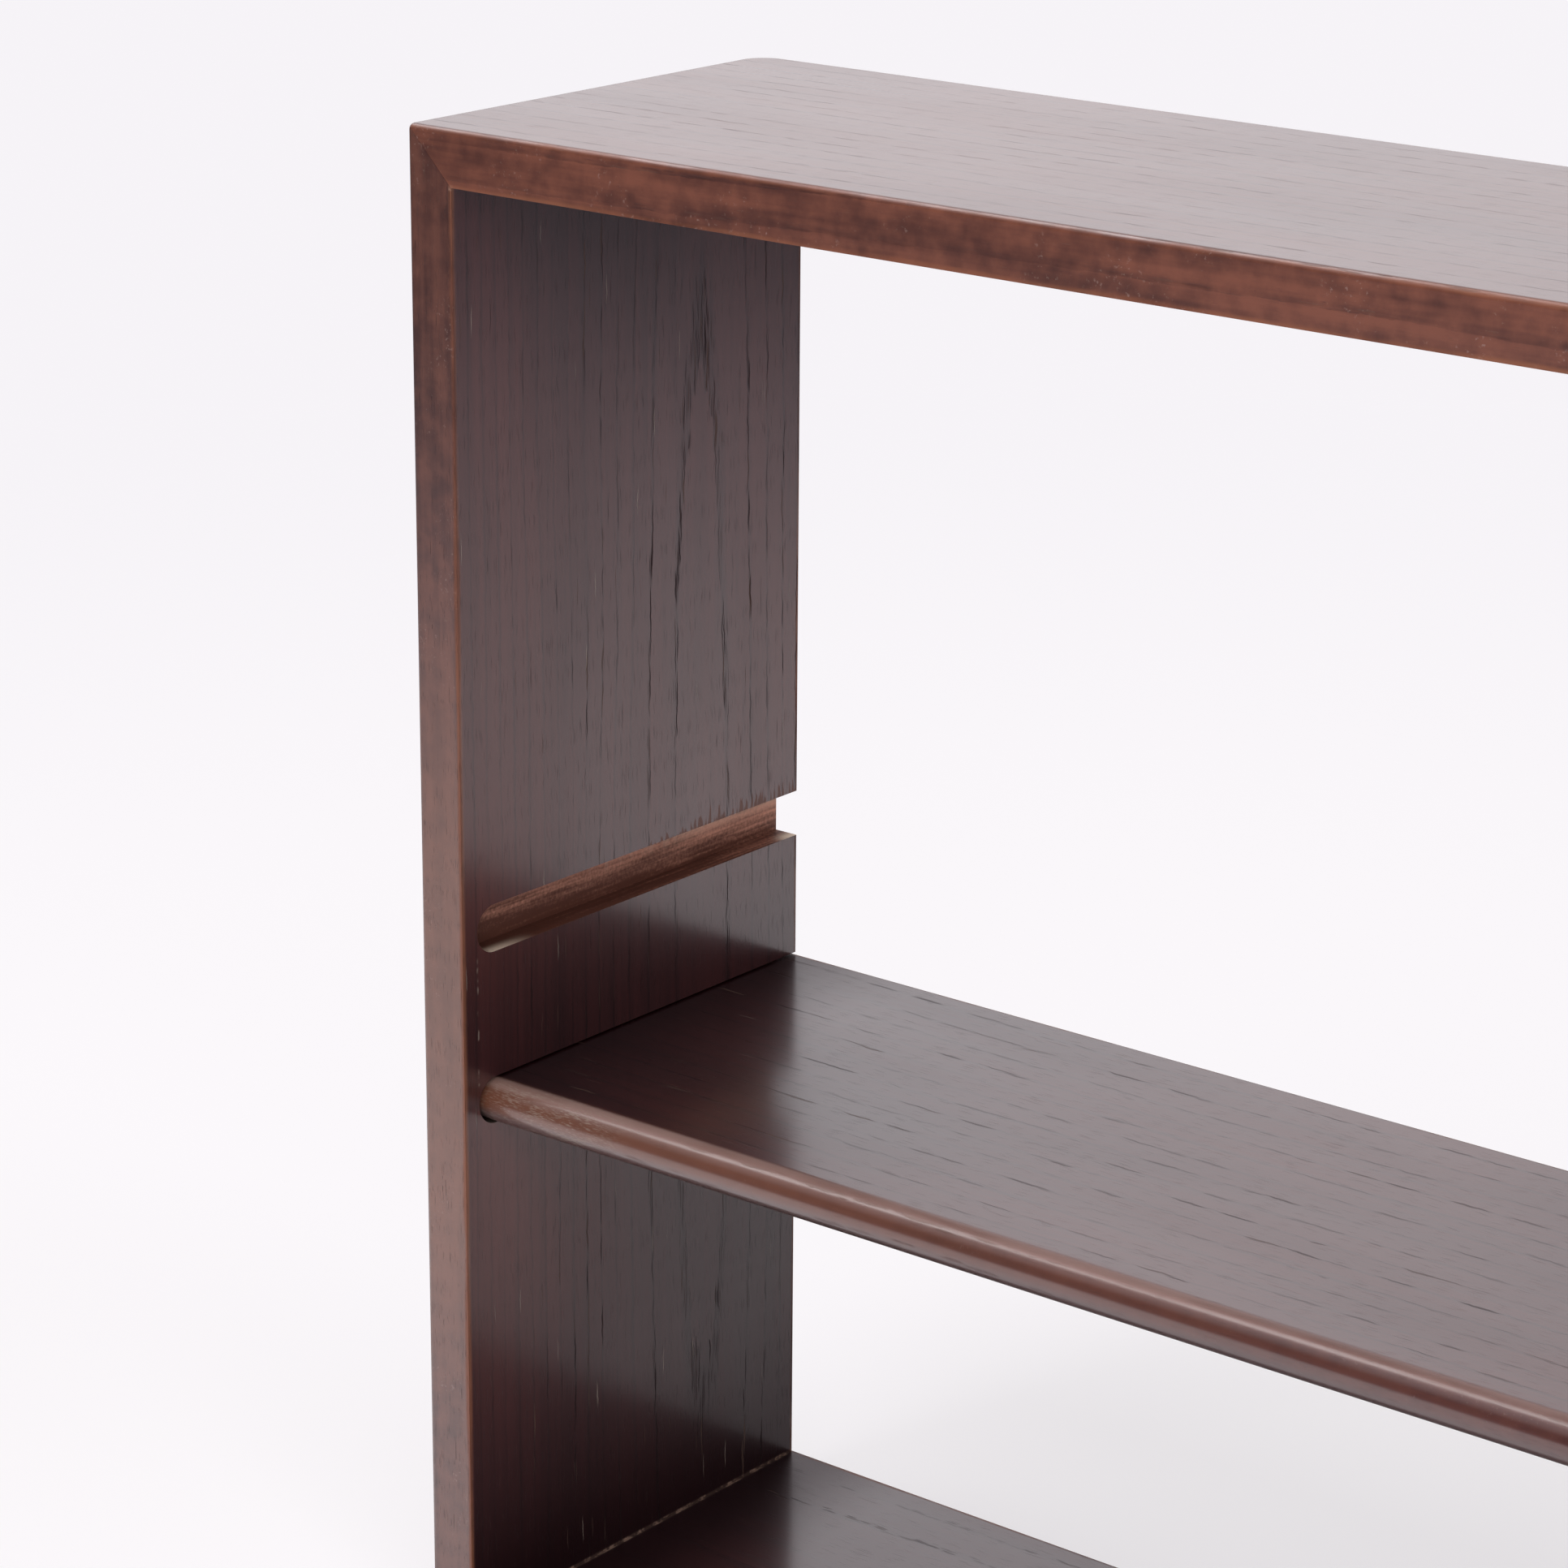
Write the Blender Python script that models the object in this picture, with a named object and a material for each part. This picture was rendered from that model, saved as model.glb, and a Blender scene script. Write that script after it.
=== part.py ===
"""Open shelf unit: four stained boards mitred into a carcase, and a shelf that slides in from behind.

Sizes are in metres. X runs along the width, Y from the front to the back and Z up. The origin is on
the floor under the middle of the unit.
"""

import math

import bmesh
import bpy
from mathutils import Matrix, Vector

# Overall sizes over the outer faces
WIDTH = 0.600
DEPTH = 0.170
HEIGHT = 0.520

# Carcase boards
BOARD_THICKNESS = 0.018
BACK_CORNER_RADIUS = 0.010
OUTER_ARRIS_RADIUS = 0.002
INNER_ARRIS_CHAMFER = 0.001
MITRE_GAP = 0.0003

# Shelf, and the slots that carry it
SHELF_THICKNESS = 0.015
SLOT_DEPTH = 0.009
SLOT_FRONT_STOP = 0.007
SLOT_PITCH = 0.059
SEAT_GAP = 0.0003
HEAD_GAP = 0.0007
END_GAP = 0.0007
NOSE_GAP = 0.0025

# Dowels hidden in the mitres
DOWELS_PER_CORNER = 4
DOWEL_DIAMETER = 0.006
DOWEL_CHAMFER = 0.0006
DOWEL_HEEL_DISTANCE = 0.009
DOWEL_END_COVER = 0.0015
DOWEL_EDGE_DISTANCE = 0.025
DOWEL_GAP = 0.0003

# How far a blank or cutter runs past the face that it makes, and how near corners are one corner
OVERRUN = 0.004
WELD_DISTANCE = 1e-6

# Facets along a round, and the angle from which an edge counts as sharp
CORNER_SEGMENTS = 8
ARRIS_SEGMENTS = 3
NOSE_SEGMENTS = 8
DOWEL_SEGMENTS = 24
SHARP_ANGLE = math.radians(45)

# Finishes: base colour and roughness
STAINED_ASH = ((0.060, 0.027, 0.021, 1.0), 0.35)
BEECH = ((0.560, 0.370, 0.210, 1.0), 0.70)

# Sizes worked out from those above
SLOT_HEIGHT = SEAT_GAP + SHELF_THICKNESS + HEAD_GAP
UPPER_SLOT_Z = HEIGHT / 2
LOWER_SLOT_Z = UPPER_SLOT_Z - SLOT_PITCH
SLOT_TIP_Y = -DEPTH / 2 + SLOT_FRONT_STOP
INNER_FACE_X = WIDTH / 2 - BOARD_THICKNESS
SHELF_LENGTH = 2 * (INNER_FACE_X + SLOT_DEPTH - END_GAP)
SHELF_Z = LOWER_SLOT_Z - SLOT_HEIGHT / 2 + SEAT_GAP + SHELF_THICKNESS / 2
MITRE_LENGTH = BOARD_THICKNESS * math.sqrt(2)
DOWEL_HOLE_RADIUS = DOWEL_DIAMETER / 2 + DOWEL_GAP
DOWEL_HOLE_REACH = MITRE_LENGTH - DOWEL_HEEL_DISTANCE - DOWEL_HOLE_RADIUS - DOWEL_END_COVER
DOWEL_LENGTH = 2 * (DOWEL_HOLE_REACH - DOWEL_GAP)

# Corners of the carcase by name, each with the signs of its X and of its Z about the middle
CORNERS = {
    "top_left": (-1, 1),
    "top_right": (1, 1),
    "bottom_left": (-1, -1),
    "bottom_right": (1, -1),
}


def clear_scene():
    """Remove every object and collection."""
    for item in list(bpy.data.objects):
        bpy.data.objects.remove(item, do_unlink=True)
    for group in list(bpy.data.collections):
        bpy.data.collections.remove(group)


def new_collection(name):
    """Add a collection to the scene."""
    group = bpy.data.collections.new(name)
    bpy.context.scene.collection.children.link(group)
    return group


def new_empty(name, location, group):
    """Add an empty that carries other objects."""
    empty = bpy.data.objects.new(name, None)
    empty.location = location
    group.objects.link(empty)
    return empty


def new_object(name, shape, group, parent=None):
    """Turn a bmesh into an object of the collection, under its parent if it has one."""
    bmesh.ops.recalc_face_normals(shape, faces=shape.faces)
    mesh = bpy.data.meshes.new(name)
    shape.to_mesh(mesh)
    shape.free()
    item = bpy.data.objects.new(name, mesh)
    item.parent = parent
    group.objects.link(item)
    return item


def new_cutter(name, shape, group):
    """Turn a bmesh into a cutter, which shows as a wire and isn't rendered."""
    cutter = new_object(name, shape, group)
    cutter.hide_render = True
    cutter.display_type = "WIRE"
    return cutter


def cut(item, cutter, operation="DIFFERENCE"):
    """Add a Boolean of the cutter to the object."""
    modifier = item.modifiers.new(cutter.name, "BOOLEAN")
    modifier.operation = operation
    modifier.solver = "EXACT"
    modifier.object = cutter


def give_finish(item, finish):
    """Give the object a Principled material of its own."""
    colour, roughness = finish
    material = bpy.data.materials.new(item.name + "_wood")
    material.use_nodes = True
    shader = material.node_tree.nodes["Principled BSDF"]
    shader.inputs["Base Color"].default_value = colour
    shader.inputs["Roughness"].default_value = roughness
    shader.inputs["Metallic"].default_value = 0.0
    material.diffuse_color = colour
    item.data.materials.append(material)


def add_box(shape, size, centre):
    """Add a box to a bmesh, and return its edges."""
    place = Matrix.LocRotScale(Vector(centre), None, Vector(size))
    corners = bmesh.ops.create_cube(shape, size=1.0, matrix=place)["verts"]
    return list({edge for corner in corners for edge in corner.link_edges})


def edge_span(edge):
    """Return the vector along an edge."""
    return edge.verts[1].co - edge.verts[0].co


def edge_middle(edge):
    """Return the middle of an edge."""
    return (edge.verts[0].co + edge.verts[1].co) / 2


def sharp_edges(shape):
    """Return the edges of a bmesh where its faces turn sharply."""
    return [edge for edge in shape.edges if edge.calc_face_angle() > SHARP_ANGLE]


def round_edges(shape, edges, radius, segments):
    """Round some edges of a bmesh, or chamfer them with one segment."""
    bmesh.ops.bevel(
        shape,
        geom=edges,
        offset=radius,
        offset_type="OFFSET",
        segments=segments,
        profile=0.5,
        affect="EDGES",
        clamp_overlap=True,
    )


def add_nosed_bar(shape, length, height, tip_y, back_y, centre_x, centre_z):
    """Add a bar along X to a bmesh, with a full half round as its front."""
    middle_y = (tip_y + back_y) / 2
    edges = add_box(shape, (length, back_y - tip_y, height), (centre_x, middle_y, centre_z))
    along = [edge for edge in edges if abs(edge_span(edge).x) > length / 2]
    nose = [edge for edge in along if edge_middle(edge).y < middle_y]
    round_edges(shape, nose, height / 2, NOSE_SEGMENTS)
    bmesh.ops.remove_doubles(shape, verts=shape.verts, dist=WELD_DISTANCE)


def carcase_envelope(group):
    """Make the outside of the whole carcase: round back corners and eased outer arrises."""
    shape = bmesh.new()
    edges = add_box(shape, (WIDTH, DEPTH, HEIGHT), (0, 0, HEIGHT / 2))
    upright = [edge for edge in edges if abs(edge_span(edge).z) > HEIGHT / 2]
    back = [edge for edge in upright if edge_middle(edge).y > 0]
    round_edges(shape, back, BACK_CORNER_RADIUS, CORNER_SEGMENTS)
    round_edges(shape, sharp_edges(shape), OUTER_ARRIS_RADIUS, ARRIS_SEGMENTS)
    return new_cutter("carcase_envelope", shape, group)


def carcase_opening(group):
    """Make the space inside the carcase, flared at the front and back to ease the inner arrises."""
    inner_width = 2 * INNER_FACE_X
    inner_height = HEIGHT - 2 * BOARD_THICKNESS
    straight = DEPTH - 2 * INNER_ARRIS_CHAMFER
    flare = INNER_ARRIS_CHAMFER + OVERRUN
    spread = Vector((1 + 2 * flare / inner_width, 1, 1 + 2 * flare / inner_height))
    about_middle = Matrix.Translation((0, 0, -HEIGHT / 2))
    shape = bmesh.new()
    add_box(shape, (inner_width, straight, inner_height), (0, 0, HEIGHT / 2))
    shape.normal_update()
    for end in [face for face in shape.faces if abs(face.normal.y) > 0.5]:
        outward = end.normal * flare
        mouth = bmesh.ops.extrude_discrete_faces(shape, faces=[end])["faces"][0]
        bmesh.ops.translate(shape, vec=outward, verts=mouth.verts)
        bmesh.ops.scale(shape, vec=spread, space=about_middle, verts=mouth.verts)
    return new_cutter("carcase_opening", shape, group)


def mitred_blank(length):
    """Return a bmesh board with its outer face up at z = 0 and both ends cut back at 45 degrees.

    The blank runs past its outer and inner faces by OVERRUN, and each end stands back from the
    mitre's plane by half of MITRE_GAP.
    """
    deep = BOARD_THICKNESS + 2 * OVERRUN
    stand_back = MITRE_GAP / math.sqrt(2)
    long_side = length + 2 * OVERRUN - 2 * stand_back
    shape = bmesh.new()
    add_box(shape, (long_side, DEPTH + 2 * OVERRUN, deep), (0, 0, OVERRUN - deep / 2))
    for corner in shape.verts:
        if corner.co.z < 0:
            corner.co.x -= math.copysign(deep, corner.co.x)
    return shape


def dowel_places(corner):
    """Return the places of a mitre's dowels, each a matrix with Z along the dowel."""
    sign_x, sign_z = CORNERS[corner]
    heel = Vector((sign_x * INNER_FACE_X, 0, HEIGHT / 2 + sign_z * (HEIGHT / 2 - BOARD_THICKNESS)))
    outward = Vector((sign_x, 0, sign_z)).normalized()
    across = Vector((-sign_x, 0, sign_z)).normalized()
    turn = across.to_track_quat("Z", "Y").to_matrix().to_4x4()
    first = heel + outward * DOWEL_HEEL_DISTANCE + Vector((0, DOWEL_EDGE_DISTANCE - DEPTH / 2, 0))
    step = Vector((0, (DEPTH - 2 * DOWEL_EDGE_DISTANCE) / (DOWELS_PER_CORNER - 1), 0))
    return [Matrix.Translation(first + step * i) @ turn for i in range(DOWELS_PER_CORNER)]


def add_dowel_cylinder(shape, radius, length, place):
    """Add a cylinder to a bmesh, along Z of the place given."""
    bmesh.ops.create_cone(
        shape,
        cap_ends=True,
        segments=DOWEL_SEGMENTS,
        radius1=radius,
        radius2=radius,
        depth=length,
        matrix=place,
    )


def dowel_holes(corner, group):
    """Make the cutter for a mitre's dowel holes, in both boards at once."""
    shape = bmesh.new()
    for place in dowel_places(corner):
        add_dowel_cylinder(shape, DOWEL_HOLE_RADIUS, 2 * DOWEL_HOLE_REACH, place)
    return new_cutter("dowel_holes_" + corner, shape, group)


def make_dowels(corner, group, parent):
    """Make a mitre's dowels, with chamfered ends."""
    for number, place in enumerate(dowel_places(corner), start=1):
        shape = bmesh.new()
        add_dowel_cylinder(shape, DOWEL_DIAMETER / 2, DOWEL_LENGTH, Matrix.Identity(4))
        round_edges(shape, sharp_edges(shape), DOWEL_CHAMFER, 1)
        dowel = new_object(f"dowel_{corner}_{number}", shape, group, parent)
        dowel.matrix_local = place
        give_finish(dowel, BEECH)


def side_slots(name, side, group):
    """Make the cutter for one side's two slots: round at the front, open at the back."""
    shape = bmesh.new()
    cutter_depth = SLOT_DEPTH + OVERRUN
    centre_x = side * (INNER_FACE_X + SLOT_DEPTH - cutter_depth / 2)
    for slot_z in (UPPER_SLOT_Z, LOWER_SLOT_Z):
        add_nosed_bar(shape, cutter_depth, SLOT_HEIGHT, SLOT_TIP_Y, DEPTH / 2 + OVERRUN, centre_x, slot_z)
    return new_cutter(name, shape, group)


def make_board(name, length, turn, outer_face, trims, cutters, group, parent):
    """Make one mitred board of the carcase.

    The blank is turned about Y so that its outer face points the right way and is moved to that
    face. The carcase's envelope and opening trim it, and the cutters make its holes and slots.
    """
    board = new_object(name, mitred_blank(length), group, parent)
    board.rotation_euler = (0, turn, 0)
    board.location = outer_face
    envelope, opening = trims
    cut(board, envelope, "INTERSECT")
    cut(board, opening)
    for cutter in cutters:
        cut(board, cutter)
    give_finish(board, STAINED_ASH)


def make_shelf(group):
    """Make the shelf under an empty on its sliding axis, at the front end of the lower slots."""
    runner = new_empty("shelf_runner", (0, SLOT_TIP_Y, SHELF_Z), group)
    shape = bmesh.new()
    add_nosed_bar(shape, SHELF_LENGTH, SHELF_THICKNESS, NOSE_GAP, DEPTH / 2 - SLOT_TIP_Y, 0, 0)
    shelf = new_object("adjustable_shelf", shape, group, runner)
    give_finish(shelf, STAINED_ASH)


def main():
    """Build the carcase and its shelf."""
    clear_scene()
    parts = new_collection("open_shelf_unit")
    cutters = new_collection("cutters")
    carcase = new_empty("carcase", (0, 0, 0), parts)

    trims = (carcase_envelope(cutters), carcase_opening(cutters))
    holes = {corner: dowel_holes(corner, cutters) for corner in CORNERS}
    left_cuts = [holes["top_left"], holes["bottom_left"], side_slots("left_slots", -1, cutters)]
    right_cuts = [holes["top_right"], holes["bottom_right"], side_slots("right_slots", 1, cutters)]
    top_cuts = [holes["top_left"], holes["top_right"]]
    bottom_cuts = [holes["bottom_left"], holes["bottom_right"]]

    quarter = math.pi / 2
    left_face = (-WIDTH / 2, 0, HEIGHT / 2)
    right_face = (WIDTH / 2, 0, HEIGHT / 2)
    make_board("top_board", WIDTH, 0, (0, 0, HEIGHT), trims, top_cuts, parts, carcase)
    make_board("bottom_board", WIDTH, 2 * quarter, (0, 0, 0), trims, bottom_cuts, parts, carcase)
    make_board("left_side", HEIGHT, -quarter, left_face, trims, left_cuts, parts, carcase)
    make_board("right_side", HEIGHT, quarter, right_face, trims, right_cuts, parts, carcase)
    for corner in CORNERS:
        make_dowels(corner, parts, carcase)
    make_shelf(parts)


main()
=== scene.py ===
"""Looks of an open shelf unit in dark-stained ash.

The carcase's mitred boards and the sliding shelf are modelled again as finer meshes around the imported
frame, and each board gets its own figure of growth rings, pores, lacquer and worn arrises. Sizes are in
metres, in the frame's own axes: X along the width, Y from the front to the back, Z up.
"""

import logging
import math
from dataclasses import dataclass, field
from enum import Enum

import bmesh
import bpy
from bmesh.types import BMEdge, BMesh, BMFace
from bpy.types import ID, Material, Mesh, Node, NodeSocket, NodeTree, Object
from mathutils import Euler, Matrix, Vector


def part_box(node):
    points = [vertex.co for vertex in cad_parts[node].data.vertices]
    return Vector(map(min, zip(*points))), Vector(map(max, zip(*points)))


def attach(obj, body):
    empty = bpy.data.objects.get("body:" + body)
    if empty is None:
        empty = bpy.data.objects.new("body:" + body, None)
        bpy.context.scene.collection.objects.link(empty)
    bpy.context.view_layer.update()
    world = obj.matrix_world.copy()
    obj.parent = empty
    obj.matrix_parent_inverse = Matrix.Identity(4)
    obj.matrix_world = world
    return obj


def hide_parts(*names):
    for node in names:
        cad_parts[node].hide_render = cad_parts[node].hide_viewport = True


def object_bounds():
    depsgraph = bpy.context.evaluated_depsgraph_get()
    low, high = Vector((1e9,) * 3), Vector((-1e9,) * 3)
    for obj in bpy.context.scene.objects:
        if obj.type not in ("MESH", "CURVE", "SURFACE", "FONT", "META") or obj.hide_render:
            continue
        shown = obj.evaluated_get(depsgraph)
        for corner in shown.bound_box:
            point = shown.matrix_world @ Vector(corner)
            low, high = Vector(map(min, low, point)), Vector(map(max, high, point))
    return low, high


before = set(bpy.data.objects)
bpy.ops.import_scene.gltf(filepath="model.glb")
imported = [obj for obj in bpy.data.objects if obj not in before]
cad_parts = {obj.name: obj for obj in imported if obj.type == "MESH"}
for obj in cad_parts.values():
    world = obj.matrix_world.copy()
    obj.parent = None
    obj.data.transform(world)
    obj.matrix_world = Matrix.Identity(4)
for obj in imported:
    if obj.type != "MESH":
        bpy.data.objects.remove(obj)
CAD_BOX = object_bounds()

LOG = logging.getLogger("shelf_unit")
MILLIMETRE = 0.001
TOUCH = MILLIMETRE / 100
WELD = MILLIMETRE / 1000
SMOOTH_ANGLE = math.radians(35)
SHARP_ANGLE = math.radians(45)

# A Reach runs from where something starts to where it is full. A Pattern is a noise's cells in a metre
# along and across the grain, and its detail. Patches add the Reach over which they grow, and Spots are
# patches with the same cells all ways. A Cover is how far a layer hides the stain and matts the lacquer.
Colour = tuple[float, float, float]
Point = tuple[float, float, float]
Paint = Colour | NodeSocket
Reach = tuple[float, float]
Pattern = tuple[float, float, float]
Patches = tuple[float, float, float, float, float]
Spots = tuple[float, float, float, float]
Cover = tuple[float, float]


class Grain(Enum):
    """Which way a board's grain runs."""

    ALONG_WIDTH = "X"
    ALONG_HEIGHT = "Z"


class Slot(Enum):
    """The material slots of a board's mesh, in order."""

    FACE = 0
    ROUTED = 1


class Num:
    """A number in a shader: a socket whose arithmetic adds Math nodes."""

    def __init__(self, graph: "ShaderGraph", socket: NodeSocket) -> None:
        """Wrap an output socket of the graph."""
        self.graph = graph
        self.socket = socket

    def math(self, operation: str, *terms: "Term") -> "Num":
        """Add a Math node, with its inputs in order."""
        return self.graph.number("ShaderNodeMath", {"operation": operation}, dict(enumerate(terms)))

    def __add__(self, other: "Term") -> "Num":
        """Add."""
        return self.math("ADD", self, other)

    def __radd__(self, other: "Term") -> "Num":
        """Add, with the number first."""
        return self.math("ADD", other, self)

    def __sub__(self, other: "Term") -> "Num":
        """Subtract."""
        return self.math("SUBTRACT", self, other)

    def __rsub__(self, other: "Term") -> "Num":
        """Subtract from a number."""
        return self.math("SUBTRACT", other, self)

    def __mul__(self, other: "Term") -> "Num":
        """Multiply."""
        return self.math("MULTIPLY", self, other)

    def __rmul__(self, other: "Term") -> "Num":
        """Multiply, with the number first."""
        return self.math("MULTIPLY", other, self)

    def __truediv__(self, other: "Term") -> "Num":
        """Divide."""
        return self.math("DIVIDE", self, other)

    def __rtruediv__(self, other: "Term") -> "Num":
        """Divide a number."""
        return self.math("DIVIDE", other, self)

    def __abs__(self) -> "Num":
        """Drop the sign."""
        return self.math("ABSOLUTE", self)

    def root(self) -> "Num":
        """Take the square root."""
        return self.math("SQRT", self)

    def fraction(self) -> "Num":
        """Keep what is after the point."""
        return self.math("FRACT", self)

    def least(self, other: "Term") -> "Num":
        """Take the smaller of two."""
        return self.math("MINIMUM", self, other)

    def most(self, other: "Term") -> "Num":
        """Take the larger of two."""
        return self.math("MAXIMUM", self, other)

    def above(self, other: "Term") -> "Num":
        """Return 1 where this is larger, or else 0."""
        return self.math("GREATER_THAN", self, other)

    def step(self, low: "Term", high: "Term") -> "Num":
        """Rise smoothly from 0 at low to 1 at high."""
        inputs = {"Value": self, "From Min": low, "From Max": high}
        return self.graph.number("ShaderNodeMapRange", {"interpolation_type": "SMOOTHSTEP"}, inputs)

    def lifted(self, least: float) -> "Num":
        """Squeeze 0 to 1 into least to 1."""
        return least + (1 - least) * self

    def swing(self, size: float) -> "Num":
        """Turn 0 to 1 into a swing of that size about 0."""
        return (self - 0.5) * size


Term = Num | float | int


class ShaderGraph:
    """A node tree that is written as expressions."""

    MIX_FIRST = 6
    MIX_SECOND = 7
    MIX_RESULT = 2

    def __init__(self, tree: NodeTree) -> None:
        """Start an empty tree."""
        self.tree = tree
        tree.nodes.clear()

    def node(self, kind: str, settings: dict | None = None, inputs: dict | None = None) -> Node:
        """Add a node.

        Args:
            kind: The node's type.
            settings: Its properties, set first.
            inputs: Values, numbers or sockets for its inputs, by name or place.

        Returns:
            The node.
        """
        made = self.tree.nodes.new(kind)
        for name, value in (settings or {}).items():
            setattr(made, name, value)
        for key, value in (inputs or {}).items():
            source = value.socket if isinstance(value, Num) else value
            if isinstance(source, NodeSocket):
                self.tree.links.new(source, made.inputs[key])
            else:
                made.inputs[key].default_value = source
        return made

    def number(self, kind: str, settings: dict | None, inputs: dict, output: str | int = 0) -> Num:
        """Add a node and take one of its outputs as a number."""
        return Num(self, self.node(kind, settings, inputs).outputs[output])

    def mix(self, share: Term, first: Paint, second: Paint) -> NodeSocket:
        """Mix two colours, with that share of the second."""
        inputs = {0: share, self.MIX_FIRST: rgba(first), self.MIX_SECOND: rgba(second)}
        return self.node("ShaderNodeMix", {"data_type": "RGBA"}, inputs).outputs[self.MIX_RESULT]

    def scaled(self, colour: Paint, strength: Term) -> NodeSocket:
        """Make a colour brighter or darker."""
        inputs = {0: colour, "Scale": strength}
        return self.node("ShaderNodeVectorMath", {"operation": "SCALE"}, inputs).outputs[0]

    def measure(self, operation: str, *vectors: object) -> Num:
        """Add a Vector Math node that gives a number."""
        inputs = dict(enumerate(vectors))
        return self.number("ShaderNodeVectorMath", {"operation": operation}, inputs, "Value")

    def place(self) -> NodeSocket:
        """Return each point's place in the frame."""
        return self.node("ShaderNodeTexCoord").outputs["Object"]

    def axes(self, vector: NodeSocket) -> list[Num]:
        """Split a vector into its three numbers."""
        return [Num(self, axis) for axis in self.node("ShaderNodeSeparateXYZ", None, {0: vector}).outputs]

    def vector(self, x: Term, y: Term, z: Term) -> NodeSocket:
        """Join three numbers into a vector."""
        return self.node("ShaderNodeCombineXYZ", None, {0: x, 1: y, 2: z}).outputs[0]

    def noise(self, vector: NodeSocket, scale: float, detail: float) -> Num:
        """Add smooth noise, from 0 to 1."""
        inputs = {"Vector": vector, "Scale": scale, "Detail": detail}
        return self.number("ShaderNodeTexNoise", None, inputs)

    def surface(
        self, colour: Paint, rough: Term, relief: Num, depth: float = 1.0, coat: dict | None = None
    ) -> None:
        """Finish a material.

        Args:
            colour: Its base colour.
            rough: Its roughness.
            relief: The height of its relief, in millimetres.
            depth: How strongly the relief shows.
            coat: What its lacquer's sockets get, if it has any.
        """
        height = {"Strength": depth, "Distance": MILLIMETRE, "Height": relief}
        normal = self.node("ShaderNodeBump", None, height).outputs[0]
        inputs = {"Base Color": colour, "Roughness": rough, "Normal": normal, **(coat or {})}
        shader = self.node("ShaderNodeBsdfPrincipled", None, inputs)
        self.node("ShaderNodeOutputMaterial", None, {"Surface": shader.outputs[0]})


def rgba(colour: Paint) -> object:
    """Give a plain colour its alpha, and leave a socket as it is."""
    return (*colour, 1.0) if isinstance(colour, tuple) else colour


def new_material(name: str) -> tuple[Material, ShaderGraph]:
    """Start a material.

    Args:
        name: The material's name.

    Returns:
        The material and its empty graph.
    """
    made = bpy.data.materials.new(name)
    made.use_nodes = True
    return made, ShaderGraph(made.node_tree)


@dataclass(frozen=True)
class SawnFigure:
    """How a board was sawn from its log, which sets the figure on its faces.

    Attributes:
        grain: The way the grain runs.
        heart_across: Where the log's heart lies, along Y.
        heart_through: Where it lies through the board's thickness, in the frame.
        bow: How fast the heart bends away along the grain, per metre.
        bow_centre: Where along the grain it comes nearest.
        ring_width: The width of one year's growth.
        seed: Sets this board's own pores and blotches.
        pore_pitch: Pores in a metre along the grain and across it.
        openness: How far the pores stay open under the lacquer, from 0 to 1.
        coverage: How much of each ring's pores are coarse, from -0.2 for few to 0.2 for nearly all.
        lean: How much more of them are coarse towards the back, per metre.
    """

    grain: Grain
    heart_across: float
    heart_through: float
    bow: float
    bow_centre: float
    ring_width: float
    seed: float
    pore_pitch: tuple[float, float] = (62.0, 1750.0)
    openness: float = 1.0
    coverage: float = 0.20
    lean: float = 0.0


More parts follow.
